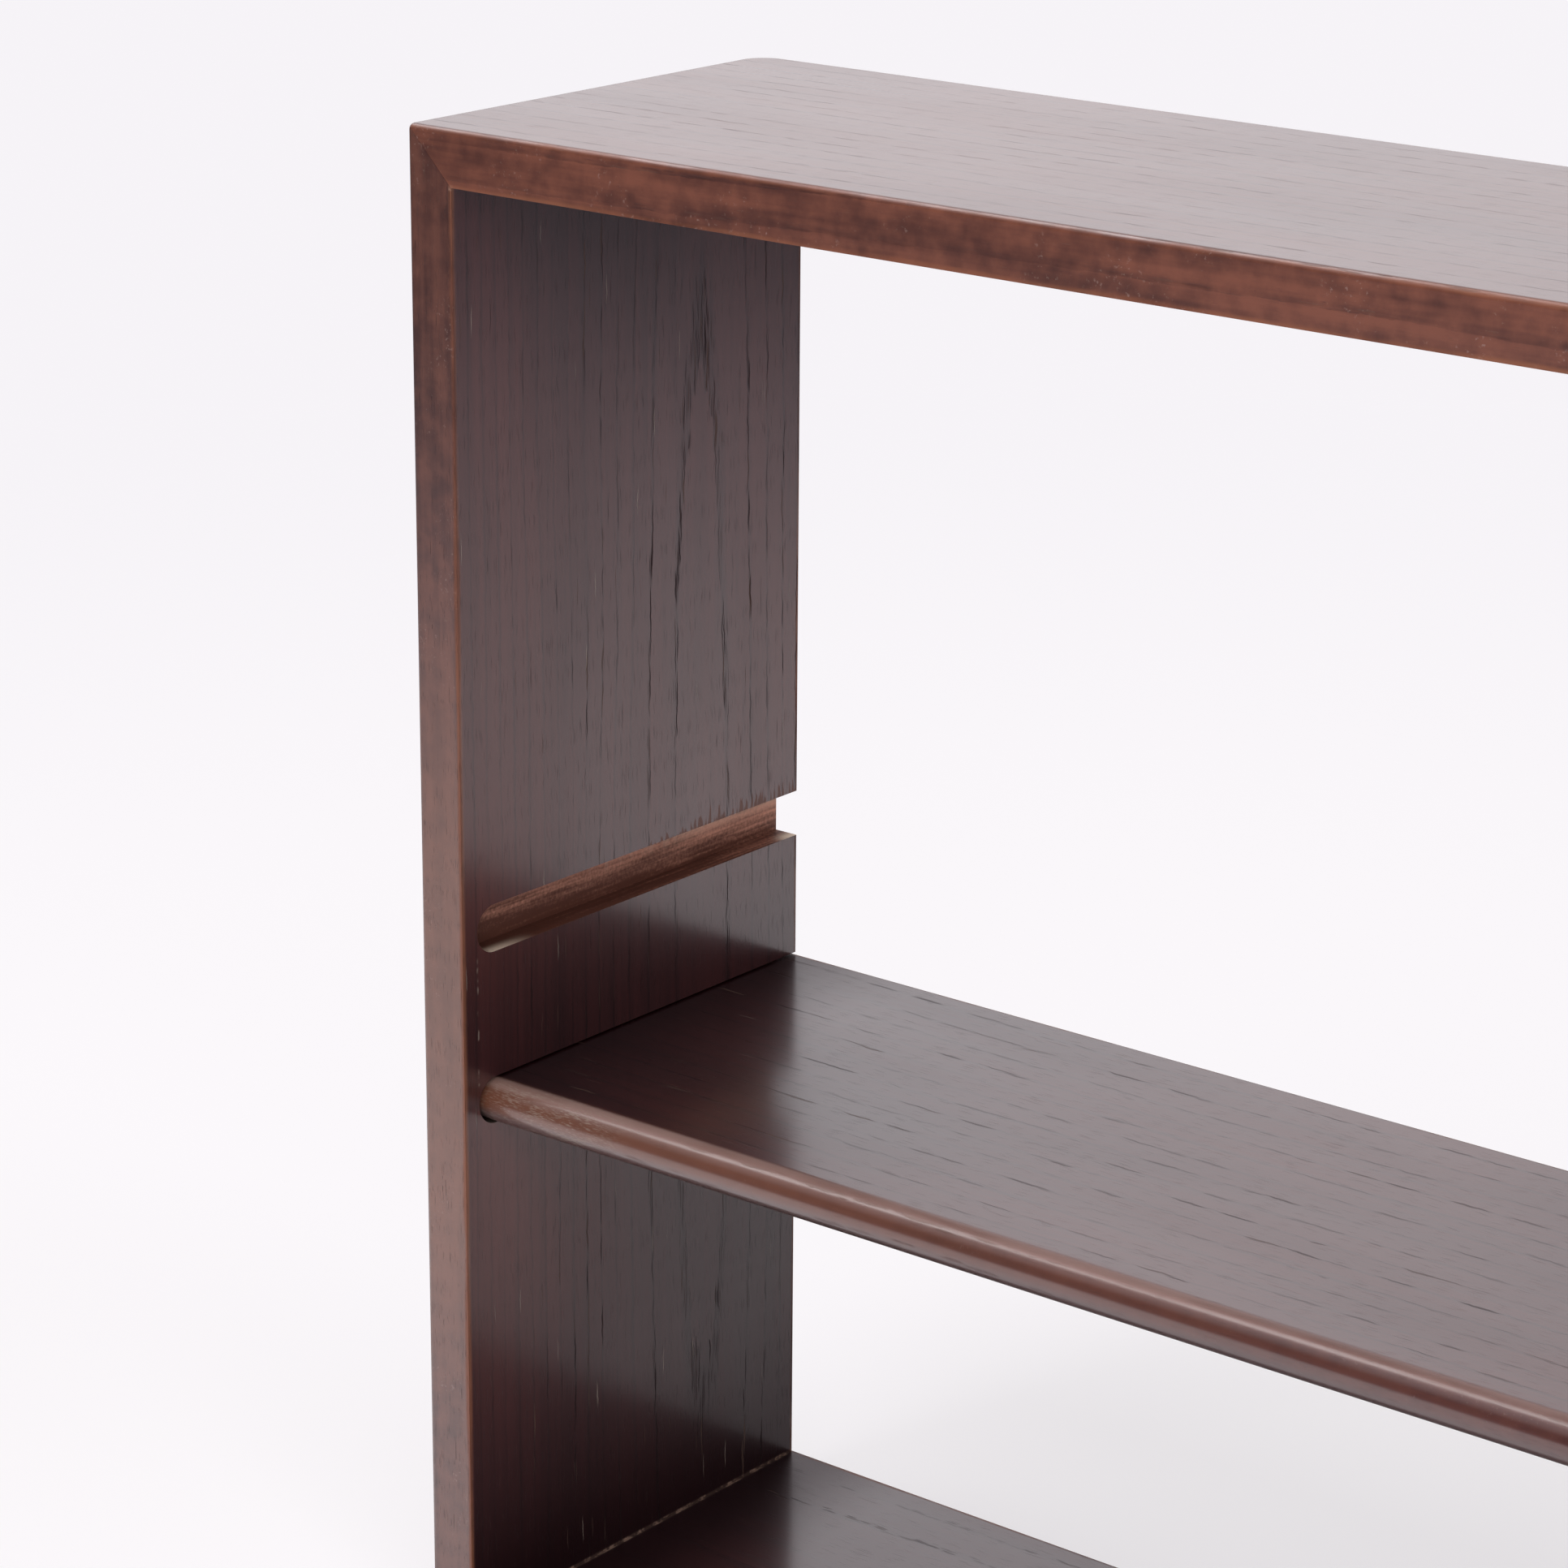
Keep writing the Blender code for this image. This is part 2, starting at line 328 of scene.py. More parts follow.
class GrainField:
    """Coordinates along, across and through a board, with its rings and pores."""

    WAVES: Pattern = (170.0, 60.0, 4.0)
    WAVE_HEIGHT = 1.7 * MILLIMETRE
    WANDER: Pattern = (3.0, 11.0, 2.0)
    RAGGED: Pattern = (25.0, 420.0, 2.0)

    def __init__(self, graph: ShaderGraph, figure: SawnFigure) -> None:
        """Read the board's own coordinates.

        Args:
            graph: The material's graph.
            figure: How the board was sawn.
        """
        self.graph = graph
        self.figure = figure
        self.place = graph.place()
        x, self.across, z = graph.axes(self.place)
        upright = figure.grain is Grain.ALONG_HEIGHT
        self.along, self.through = (z, x) if upright else (x, z)
        self.bend: Term = 0.0
        self.bend = self.noise(*self.WAVES).swing(self.WAVE_HEIGHT)

    def stretched(self, along: float, across: float) -> NodeSocket:
        """Return a vector for a texture that is drawn out along the grain.

        Args:
            along: Cells in a metre along the grain.
            across: Cells in a metre across it.

        Returns:
            The vector's socket.
        """
        offset = self.figure.seed
        side = (self.across + self.bend) * across + offset
        return self.graph.vector(self.along * along + offset, side, self.through * across)

    def noise(self, along: float, across: float, detail: float) -> Num:
        """Return smooth noise, drawn out along the grain."""
        return self.graph.noise(self.stretched(along, across), 1.0, detail)

    def patches(self, along: float, across: float, detail: float, low: float, high: float) -> Num:
        """Return 1 on patches of that noise."""
        return self.noise(along, across, detail).step(low, high)

    def mottle(self, scale: float, detail: float) -> Num:
        """Return smooth noise that is the same all ways, and runs on from board to board."""
        return self.graph.noise(self.place, scale, detail)

    def spots(self, scale: float, detail: float, low: float, high: float) -> Num:
        """Return 1 on spots of that mottle."""
        return self.mottle(scale, detail).step(low, high)

    def cells(self, along: float, across: float) -> tuple[Num, Num, Num]:
        """Scatter pores over the board.

        Args:
            along: Pores in a metre along the grain.
            across: Pores in a metre across it.

        Returns:
            Each point's distance from a pore's core, and two random numbers of that pore's own.
        """
        inputs = {"Vector": self.stretched(along, across), "Scale": 1.0}
        node = self.graph.node("ShaderNodeTexVoronoi", {"feature": "F1"}, inputs)
        parts = self.graph.node("ShaderNodeSeparateColor", None, {0: node.outputs["Color"]})
        first, second = (Num(self.graph, part) for part in parts.outputs[:2])
        return Num(self.graph, node.outputs["Distance"]), first, second

    def ring_phase(self, sway: float, jag: float) -> Num:
        """Return how far through its year each point grew, from 0 to 1.

        Args:
            sway: How far the grain wanders sideways, in metres.
            jag: How uneven a ring's edge is, as a share of a ring.

        Returns:
            The share of the year.
        """
        figure = self.figure
        wander = self.noise(*self.WANDER).swing(2 * sway) + self.bend
        from_centre = self.along - figure.bow_centre
        side = self.across - figure.heart_across + wander
        depth = abs(self.through - figure.heart_through) + from_centre * from_centre * figure.bow
        radius = (side * side + depth * depth).root()
        return (radius / figure.ring_width + self.noise(*self.RAGGED).swing(jag)).fraction()


@dataclass(frozen=True)
class ArrisPlanes:
    """The planes that a board's arrises lie between, for wear along its edges.

    Attributes:
        outer: Where the outer face lies, through the board.
        inner: Where the inner face lies.
        front: Where the front edge lies, along Y.
        back: Where the back edge lies.
        corners: The middle and half the length between the board's inside corners, along the grain.
        reach: How far the wear spreads from an arris.
        edge_reach: How far back the front edge's warmer stain goes.
        edge_share: How strong that stain is, from 0 to 1.
        skin: How deep the inner face's own stain goes.
        seam_reach: How far the pale seam in an inside corner spreads.
        dashes: The seam's dashes of glue and dust.
        between: How strong the seam is between them.
    """

    outer: float
    inner: float
    front: float
    back: float
    corners: tuple[float, float] | None = None
    reach: float = 0.0016
    edge_reach: Reach = (0.0006, 0.0022)
    edge_share: float = 1.0
    skin: Reach = (0.0008, 0.0012)
    seam_reach: Reach = (0.0003, 0.0012)
    dashes: Spots = (420.0, 3.0, 0.47, 0.64)
    between: float = 0.18

    def distance(self, wood: GrainField) -> Num:
        """Return each surface point's distance from the nearest long arris."""
        faces = abs(wood.through - self.outer).least(abs(wood.through - self.inner))
        return faces.most(abs(wood.across - self.front).least(abs(wood.across - self.back)))

    def front_edge(self, wood: GrainField) -> Num:
        """Return 1 on the front edge and 0 on the faces."""
        return 1 - (wood.across - self.front).step(*self.edge_reach)

    def on_inner(self, wood: GrainField) -> Num:
        """Return 1 on the inner face and 0 on the other faces."""
        return 1 - abs(wood.through - self.inner).step(*self.skin)

    def seam(self, wood: GrainField) -> Num:
        """Return 1 on the seams' dashes, and 0 away from the inside corners."""
        near = 1 - abs(abs(wood.along - self.corners[0]) - self.corners[1]).step(*self.seam_reach)
        return near * self.on_inner(wood) * wood.spots(*self.dashes).lifted(self.between)


@dataclass(frozen=True)
class Span:
    """A stretch along the grain over which something grows and dies away again.

    Attributes:
        start: Where it starts to grow.
        full: Where it is full.
        fall: Where it starts to die away.
        end: Where it is gone.
    """

    start: float
    full: float
    fall: float
    end: float

    def share(self, wood: GrainField) -> Num:
        """Return its share at each point, from 0 to 1."""
        return wood.along.step(self.start, self.full) * (1 - wood.along.step(self.fall, self.end))


@dataclass(frozen=True)
class SlotScars:
    """Marks that routing the slots left on a side's inner face: torn fibres and a scribed line.

    Attributes:
        lip: How high the upper slot's top edge lies.
        line: The stretch of the line, between the slots' ends.
        scribe: Where the line lies, along Y.
        tear: How far the fibres are torn above the lip, at most.
        whole: How much of the streaks' pattern stays whole.
        torn_reach: Where the tearing grows, along Y.
        frayed: How soft the tears' ends are.
    """

    lip: float
    line: Span
    scribe: float
    tear: float = 0.030
    streaks: Pattern = (8.0, 620.0, 2.0)
    whole: float = 0.44
    torn_reach: Reach = (-0.02, 0.06)
    frayed: float = 0.0012
    line_reach: Reach = (0.00015, 0.00050)
    dashes: Patches = (140.0, 60.0, 2.0, 0.50, 0.60)

    def torn(self, wood: GrainField) -> Num:
        """Find the fibres that are torn out above the slot, towards the back.

        Args:
            wood: The side's coordinates.

        Returns:
            1 where they are torn.
        """
        rise = wood.along - self.lip
        streak = (wood.noise(*self.streaks) - self.whole).most(0.0)
        length = streak * wood.across.step(*self.torn_reach) * self.tear
        return (length - rise).step(0.0, self.frayed) * rise.above(0.0)

    def scribed(self, wood: GrainField) -> Num:
        """Return 1 on the dashes of the scribed line."""
        near = 1 - abs(wood.across + wood.bend - self.scribe).step(*self.line_reach)
        return near * wood.patches(*self.dashes) * self.line.share(wood)


@dataclass(frozen=True)
class PaintedLightAndShade:
    """Light and shade painted into a board's stain: darker, duller corners and a lighter stain where lit.

    Attributes:
        unshaded: Where the board is out of the painted shade of the corners at its ends.
        painted_lit: Where the stain is painted lighter, if it is.
        front: Where that painted light only reaches in from the front, if there is such a part.
        painted_lit_edge: Where the front edge is painted paler, if it is.
        reach: Where the painted light from the front dies away, along Y.
        outside: How much of the lighter stain the other faces get, evenly all over, from 0 to 1.
        matt_share: How far the lacquer of the painted-lit part is matted towards the front, from 0 to 1.
    """

    unshaded: Span
    painted_lit: Span | None = None
    front: Span | None = None
    painted_lit_edge: Span | None = None
    reach: Reach = (-0.075, 0.030)
    outside: float = 0.35
    matt_share: float = 0.22

    def near_front(self, wood: GrainField) -> Num:
        """Return how far the painted light from the front reaches each point, from 0 to 1."""
        return 1 - wood.across.step(*self.reach)

    def share(self, wood: GrainField) -> Term:
        """Find how much painted light the inner face gets.

        Args:
            wood: The board's coordinates.

        Returns:
            The share that is painted lighter, from 0 to 1.
        """
        share = self.painted_lit.share(wood) if self.painted_lit else 0.0
        if self.front:
            share = (self.front.share(wood) * self.near_front(wood)).most(share)
        return share

    def painted_corner_shade(self, wood: GrainField) -> Num:
        """Return the painted shade, from 0 to 1 in the corners, where the stain is darker and the lacquer
        duller.
        """
        return 1 - self.unshaded.share(wood)

    def matted(self, wood: GrainField) -> Num:
        """Return how far the lacquer of the painted-lit part is matted towards the front."""
        return self.painted_lit.share(wood) * self.near_front(wood) * self.matt_share


@dataclass(frozen=True)
class NoseScuff:
    """Marks on a round front edge: rubbed specks, a painted highlight on its crest and a painted reflection
    below.

    Attributes:
        middle: Where the patch's middle lies, along the grain.
        reach: Half its length.
        paled: Where along the grain the paler stain at the left end starts and stops dying away.
        reflection_heights: Heights between which the painted reflection of the floor on the nose's lower
            half dies away.
    """

    middle: float
    reach: float
    paled: tuple[float, float]
    reflection_heights: tuple[float, float]
    core: float = 0.25
    specks: Pattern = (420.0, 2600.0, 4.0)
    clusters: Pattern = (60.0, 300.0, 2.0)
    cluster_share: float = 0.6
    speck_reach: Reach = (0.76, 1.04)
    crest_start: Reach = (0.0017, 0.0035)
    crest_end: Reach = (0.0058, 0.0076)
    crest_patches: Patches = (16.0, 60.0, 3.0, 0.35, 0.65)
    crest_least: float = 0.60

    def upper(self, wood: GrainField) -> Num:
        """Return 1 on the nose's upper half."""
        return wood.through.step(*self.reflection_heights)

    def pale(self, wood: GrainField) -> Num:
        """Return how much paler the stain is towards the left end."""
        return 1 - wood.along.step(*self.paled)

    def crest(self, wood: GrainField, depth: Num) -> Num:
        """Return the painted highlight along the top of the round, by each point's depth behind the nose."""
        band = depth.step(*self.crest_start) * (1 - depth.step(*self.crest_end))
        return self.upper(wood) * band * wood.patches(*self.crest_patches).lifted(self.crest_least)

    def rubbed(self, wood: GrainField) -> Num:
        """Find the rubbed patch.

        Args:
            wood: The board's coordinates.

        Returns:
            1 on the patch's specks.
        """
        near = 1 - abs(wood.along - self.middle).step(self.core * self.reach, self.reach)
        specks = wood.noise(*self.specks) + wood.noise(*self.clusters) * self.cluster_share
        return near * specks.step(*self.speck_reach)


@dataclass(frozen=True)
class RingPores:
    """The pores of ring-porous wood: coarse ones in the early wood, and strays and fine ones all over."""

    sway: float = 0.006
    jag: float = 0.14
    early_wood: Reach = (0.05, 0.20)
    early_size: float = 0.58
    late_size: float = 0.02
    core: float = 0.55
    coarse_gap: float = 0.12
    coarse_wax: float = 0.72
    presence: Pattern = (13.0, 80.0, 2.0)
    present: Reach = (0.40, 0.56)
    bold: Patches = (7.0, 260.0, 2.0, 0.40, 0.62)
    faintest: float = 0.45
    stray_pitch: tuple[float, float] = (42.0, 2000.0)
    stray_size: Reach = (0.12, 0.26)
    stray_gap: float = 0.95
    stray_wax: float = 0.55
    stray_dust: float = 0.985
    stray_depth: float = 0.9
    fine_pitch: tuple[float, float] = (95.0, 2600.0)
    fine_size: Reach = (0.12, 0.34)
    fine_gap: float = 0.50
    fine_wax: float = 0.93
    fine_depth: float = 0.50

    def masks(self, wood: GrainField) -> tuple[Num, Num, Num, Num]:
        """Lay the pores out on a board.

        Args:
            wood: The board's coordinates.

        Returns:
            The masks of its early wood, its open pores, those that hold wax and those that hold dust.
        """
        figure = wood.figure
        early = 1 - wood.ring_phase(self.sway, self.jag).step(*self.early_wood)
        near, chance, fill = wood.cells(*figure.pore_pitch)
        size = early * self.early_size + self.late_size
        presence = wood.noise(*self.presence) + wood.across * figure.lean + figure.coverage
        coarse = (1 - near.step(size * self.core, size)) * chance.above(self.coarse_gap)
        coarse = coarse * presence.step(*self.present) * wood.patches(*self.bold).lifted(self.faintest)
        waxed = fill.above(self.coarse_wax) * coarse
        near, chance, fill = wood.cells(*self.stray_pitch)
        stray = (1 - near.step(*self.stray_size)) * chance.above(self.stray_gap)
        waxed = waxed.most(fill.above(self.stray_wax) * stray)
        dusty = chance.above(self.stray_dust) * stray
        near, chance, fill = wood.cells(*self.fine_pitch)
        fine = (1 - near.step(*self.fine_size)) * chance.above(self.fine_gap) * self.fine_depth
        waxed = waxed.most(fill.above(self.fine_wax) * fine)
        opened = coarse.most(stray * self.stray_depth).most(fine)
        return early, opened * figure.openness, waxed, dusty * figure.openness


class Coats:
    """A board's stain and lacquer, as layers are laid over them."""

    def __init__(self, graph: ShaderGraph, colour: Paint) -> None:
        """Start with a colour under a whole coat of lacquer.

        Args:
            graph: The material's graph.
            colour: The colour.
        """
        self.graph = graph
        self.colour = colour
        self.gloss: Term = 1.0

    def matt(self, where: Num, share: float = 1.0) -> None:
        """Matt that share of the lacquer."""
        self.gloss = self.gloss * (1 - where * share)

    def lay(self, where: Num, paint: Paint, cover: float = 1.0, matt: float = 0.0) -> None:
        """Lay a colour over what is there.

        Args:
            where: The colour's share at each point.
            paint: The colour.
            cover: How far it hides what is under it.
            matt: How far it matts the lacquer.
        """
        self.colour = self.graph.mix(where * cover, self.colour, paint)
        if matt:
            self.matt(where, matt)


@dataclass(frozen=True)
class StainedAsh:
    """Dark brown stain under a satin lacquer, on ring-porous wood with its pores left open."""

    deep: Colour = (0.014, 0.0032, 0.0038)
    warm: Colour = (0.041, 0.0086, 0.0088)
    edge_deep: Colour = (0.038, 0.0118, 0.0088)
    edge_warm: Colour = (0.126, 0.0450, 0.0290)
    # A lighter copy of the stain, painted light where lamps would light the inner face.
    painted_lit_deep: Colour = (0.036, 0.0100, 0.0088)
    painted_lit_warm: Colour = (0.088, 0.0245, 0.0200)
    # Painted shade in the inside corners.
    corner: Colour = (0.006, 0.0013, 0.0018)
    pore: Colour = (0.010, 0.006, 0.006)
    waxed_pore: Colour = (0.090, 0.056, 0.042)
    dust: Colour = (0.300, 0.245, 0.205)
    worn: Colour = (0.215, 0.085, 0.046)
    torn: Colour = (0.120, 0.054, 0.034)
    seam: Colour = (0.310, 0.200, 0.155)
    # Painted reflection of the floor on the nose's lower half.
    floor_reflection: Colour = (0.105, 0.074, 0.074)
    # The pale colour of the edges' specks, and of the painted highlight along the nose's crest.
    crest: Colour = (0.270, 0.175, 0.155)
    sheen: Colour = (1.0, 0.62, 0.70)
    roughness: float = 0.42
    pore_roughness: float = 0.80
    fibre_roughness: float = 0.08
    lacquer_roughness: float = 0.19
    lacquer_ior: float = 1.98
    pores: RingPores = RingPores()
    fibre: Pattern = (9.0, 420.0, 4.0)
    blotch: Pattern = (5.0, 14.0, 3.0)
    fibre_swing: float = 0.8
    blotch_swing: float = 1.4
    early_shade: float = 0.30
    middle_tone: float = 0.55
    band: Pattern = (11.0, 170.0, 3.0)
    mottle: tuple[float, float] = (150.0, 5.0)
    band_swing: float = 1.3
    mottle_swing: float = 1.1
    edge_follow: float = 0.40
    edge_tone: float = 0.30
    specks: Spots = (900.0, 2.0, 0.62, 0.76)
    clusters: Spots = (45.0, 2.0, 0.50, 0.66)
    ragged: Pattern = (30.0, 90.0, 3.0)
    ragged_swing: float = 1.4
    worn_core: float = 0.2
    worn_patches: Patches = (14.0, 14.0, 3.0, 0.32, 0.62)
    worn_least: float = 0.30
    cloud: Patches = (7.0, 34.0, 4.0, 0.35, 0.70)
    cloud_matt: float = 0.07
    corner_cover: float = 0.9
    corner_matt: float = 0.75
    speck_cover: float = 0.5
    painted_lit_edge_cover: float = 0.40
    worn_cover: float = 0.65
    worn_matt: float = 0.85
    pore_cover: Cover = (0.88, 1.0)
    seam_cover: Cover = (0.65, 1.0)
    torn_cover: Cover = (0.75, 0.8)
    scribed_cover: float = 0.5
    pale_cover: float = 0.45
    floor_reflection_cover: float = 0.8
    crest_cover: Cover = (0.8, 0.92)
    rubbed_cover: Cover = (0.5, 0.6)
    uneven: Pattern = (9.0, 45.0, 2.0)
    fibre_height: float = 0.012
    uneven_height: float = 0.035
    pore_depth: float = 0.12

    def edge_stain(self, wood: GrainField, tone: Num) -> NodeSocket:
        """Make the warmer stain of the front edge.

        Args:
            wood: The board's coordinates.
            tone: How warm the stain on the faces is, from 0 to 1.

        Returns:
            The colour.
        """
        swing = wood.noise(*self.band).swing(self.band_swing)
        swing = swing + wood.mottle(*self.mottle).swing(self.mottle_swing)
        warmth = (tone * self.edge_follow + swing + self.edge_tone).step(0.0, 1.0)
        stain = wood.graph.mix(warmth, self.edge_deep, self.edge_warm)
        specks = wood.spots(*self.specks) * wood.spots(*self.clusters)
        return wood.graph.mix(specks * self.speck_cover, stain, self.crest)

    def wear(self, coats: Coats, wood: GrainField, arris: ArrisPlanes) -> None:
        """Rub the arrises, and cloud the lacquer.

        Args:
            coats: The layers so far.
            wood: The board's coordinates.
            arris: The planes of the arrises.
        """
        ragged = wood.noise(*self.ragged).swing(self.ragged_swing * arris.reach)
        near = 1 - (arris.distance(wood) + ragged).step(self.worn_core * arris.reach, arris.reach)
        patchy = wood.patches(*self.worn_patches).lifted(self.worn_least)
        coats.lay(near * patchy, self.worn, self.worn_cover)
        coats.matt(near, self.worn_matt)
        coats.matt(wood.patches(*self.cloud), self.cloud_matt)

    def material(
        self,
        name: str,
        figure: SawnFigure,
        arris: ArrisPlanes,
        scars: SlotScars | None = None,
        scuff: NoseScuff | None = None,
        painted_light_and_shade: PaintedLightAndShade | None = None,
    ) -> Material:
        """Make the material of one board.

        Args:
            name: The material's name.
            figure: How the board was sawn.
            arris: The planes of its worn arrises.
            scars: What routing left on it, if it has slots.
            scuff: The wear, painted highlight and painted reflection on its round front edge, if it has one.
            painted_light_and_shade: Where light and shade are painted into its stain, if they are.

        Returns:
            The material.
        """
        made, graph = new_material(name)
        wood = GrainField(graph, figure)
        early, opened, waxed, dusty = self.pores.masks(wood)
        front = arris.front_edge(wood)
        inside = arris.on_inner(wood)
        fibre = wood.noise(*self.fibre)
        swing = fibre.swing(self.fibre_swing) + wood.noise(*self.blotch).swing(self.blotch_swing)
        tone = (self.middle_tone + swing - early * self.early_shade).step(0.0, 1.0)

        coats = Coats(graph, graph.mix(tone, self.deep, self.warm))
        # Painted light and shade: a lighter stain where lit, and darker, matt corners where shade falls.
        if painted_light_and_shade:
            painted_lit_stain = graph.mix(tone, self.painted_lit_deep, self.painted_lit_warm)
            coats.lay(inside * painted_light_and_shade.share(wood) + painted_light_and_shade.outside * (1 - inside), painted_lit_stain)
            painted_corner_shade = inside * painted_light_and_shade.painted_corner_shade(wood)
            coats.lay(painted_corner_shade, self.corner, self.corner_cover)
            coats.matt(painted_corner_shade * (1 - front), self.corner_matt)
        coats.lay(front, self.edge_stain(wood, tone), arris.edge_share)
        # The painted-lit part's lacquer is matted towards the front.
        if painted_light_and_shade and painted_light_and_shade.front:
            coats.matt(inside * painted_light_and_shade.matted(wood))
        # Painted light: a paler stretch along the front edge.
        if painted_light_and_shade and painted_light_and_shade.painted_lit_edge:
            coats.lay(front * painted_light_and_shade.painted_lit_edge.share(wood), self.worn, self.painted_lit_edge_cover)
        self.wear(coats, wood, arris)
        coats.lay(opened, graph.mix(waxed, self.pore, self.waxed_pore), *self.pore_cover)
        coats.lay(dusty * (1 - front), self.dust)
        if arris.corners:
            coats.lay(arris.seam(wood), self.seam, *self.seam_cover)
        if scars:
            coats.lay(scars.torn(wood) * inside, self.torn, *self.torn_cover)
            coats.lay(scars.scribed(wood) * inside, self.dust, self.scribed_cover)
        if scuff:
            coats.lay(scuff.pale(wood) * front, self.worn, self.pale_cover)
            # Painted reflection of the floor on the nose's lower half.
            coats.lay((1 - scuff.upper(wood)) * front, self.floor_reflection, self.floor_reflection_cover)
            # Painted highlight along the top of the nose's round.
            coats.lay(scuff.crest(wood, wood.across - arris.front), self.crest, *self.crest_cover)
            coats.lay(scuff.rubbed(wood) * front, self.dust, *self.rubbed_cover)

        rough = self.roughness + fibre.swing(self.fibre_roughness)
        rough = rough + opened * (self.pore_roughness - self.roughness)
        relief = fibre.swing(self.fibre_height) + wood.noise(*self.uneven) * self.uneven_height
        lacquer = {
            "Coat Weight": coats.gloss,
            "Coat Roughness": self.lacquer_roughness,
            "Coat IOR": self.lacquer_ior,
            "Specular Tint": rgba(self.sheen),
        }
        graph.surface(coats.colour, rough, relief - opened * self.pore_depth, coat=lacquer)
        return made


@dataclass(frozen=True)
class RoutedWood:
    """Stain that soaked into the rough walls of a routed slot, with no lacquer over it."""

    shade: Colour = (0.080, 0.029, 0.020)
    tan: Colour = (0.640, 0.300, 0.215)
    pale: Colour = (0.680, 0.550, 0.440)
    # Painted shade inside the slot that holds the shelf.
    painted_slot_shade: Colour = (0.014, 0.006, 0.005)
    roughness: float = 0.62
    slack: float = 0.1
    streak_pitch: Point = (700.0, 26.0, 700.0)
    torn_pitch: Point = (60.0, 520.0, 45.0)
    fuzz_pitch: float = 900.0
    streak_detail: float = 4.0
    fuzz_detail: float = 3.0
    lit_level: Reach = (0.02, 0.9)
    level_light: float = 0.62
    back_light: float = 2.5
    least_light: float = 0.02
    streak_swing: float = 1.1
    fuzz_swing: float = 0.6
    scuffed_level: Reach = (0.45, 1.0)
    scuffed_reach: Reach = (0.62, 0.95)
    scuffed_lean: float = 8.0
    scuffed_lift: float = 0.15
    scuffed_cover: float = 0.6
    lip_reach: Reach = (0.001, 0.006)
    low_level: Reach = (0.10, 0.45)
    front_chip: Reach = (0.006, 0.030)
    back_chip: Reach = (-0.011, -0.003)
    chip_reach: Reach = (0.30, 0.54)
    chip_fuzz: float = 0.5
    chip_streak: float = 0.7
    chip_cover: float = 0.95
    painted_slot_shade_cover: float = 0.9
    streak_height: float = 0.14
    fuzz_height: float = 0.12
    torn_height: float = 0.10
    relief_depth: float = 0.8

    def material(self, name: str, seed: float, cuts: "SlotCuts", middle: float, inner: float) -> Material:
        """Make the material.

        Args:
            name: The material's name.
            seed: Sets where the cutter's streaks fall.
            cuts: The slots that are routed.
            middle: How high the upper slot lies.
            inner: How far the slot's mouth lies from the unit's middle.

        Returns:
            The material.
        """
        made, graph = new_material(name)
        place = graph.place()
        x, y, z = graph.axes(place)
        base = middle - cuts.pitch - cuts.height / 2
        rise = ((z - base) / cuts.pitch + self.slack).fraction() - self.slack
        level = rise * (cuts.pitch / cuts.height)
        along, across, up = self.streak_pitch
        drawn_out = graph.vector(x * along + seed, y * across, z * up)
        streak = graph.noise(drawn_out, 1.0, self.streak_detail)
        along, across, up = self.torn_pitch
        torn = graph.noise(graph.vector(x * along, y * across + seed, z * up), 1.0, self.fuzz_detail)
        fuzz = graph.noise(place, self.fuzz_pitch, self.fuzz_detail)

        # Painted shade and light: the wall is darker low in the slot and lighter towards its top and its
        # open back.
        light = self.least_light + level.step(*self.lit_level) * self.level_light + y * self.back_light
        light = light + streak.swing(self.streak_swing) + fuzz.swing(self.fuzz_swing)
        colour = graph.mix(light.step(0.0, 1.0), self.shade, self.tan)
        scuffed = (y * self.scuffed_lean + torn + self.scuffed_lift).step(*self.scuffed_reach)
        scuffed = level.step(*self.scuffed_level) * scuffed
        colour = graph.mix(scuffed * self.scuffed_cover, colour, self.pale)
        lip = (1 - (abs(x) - inner).step(*self.lip_reach)) * (1 - level.step(*self.low_level))
        front = 1 - (y - cuts.pale_front).step(*self.front_chip)
        ends = front.most((y - cuts.pale_back).step(*self.back_chip))
        chipped = (fuzz * self.chip_fuzz + streak * self.chip_streak).step(*self.chip_reach)
        colour = graph.mix(lip * ends * chipped * self.chip_cover, colour, self.pale)
        # Painted shade: the lower slot, which holds the shelf, is darkened round the shelf's end.
        lower = (middle - cuts.pitch / 2 - z).above(0.0)
        colour = graph.mix(lower * self.painted_slot_shade_cover, colour, self.painted_slot_shade)
        relief = streak * self.streak_height + fuzz * self.fuzz_height + torn * self.torn_height
        graph.surface(colour, self.roughness, relief, self.relief_depth)
        return made


@dataclass(frozen=True)
class BareBeech:
    """Pale close-grained beech, as turned dowels are."""

    pale: Colour = (0.60, 0.41, 0.25)
    fleck: Colour = (0.42, 0.25, 0.13)
    roughness: float = 0.65
    flecks: tuple[float, float] = (700.0, 4.0)
    fleck_reach: Reach = (0.45, 0.7)
    fleck_height: float = 0.1
    relief_depth: float = 0.4

    def material(self, name: str) -> Material:
        """Make the material.

        Args:
            name: The material's name.

        Returns:
            The material.
        """
        made, graph = new_material(name)
        fleck = graph.noise(graph.place(), *self.flecks)
        colour = graph.mix(fleck.step(*self.fleck_reach), self.pale, self.fleck)
        graph.surface(colour, self.roughness, fleck * self.fleck_height, self.relief_depth)
        return made


def add_box(shape: BMesh, low: Vector, high: Vector) -> list[BMEdge]:
    """Add a box to a bmesh.

    Args:
        shape: The bmesh.
        low: The box's lowest corner.
        high: Its highest corner.

    Returns:
        The box's edges.
    """
    place = Matrix.LocRotScale((low + high) / 2, None, high - low)
    corners = bmesh.ops.create_cube(shape, size=1.0, matrix=place)["verts"]
    return list({edge for corner in corners for edge in corner.link_edges})


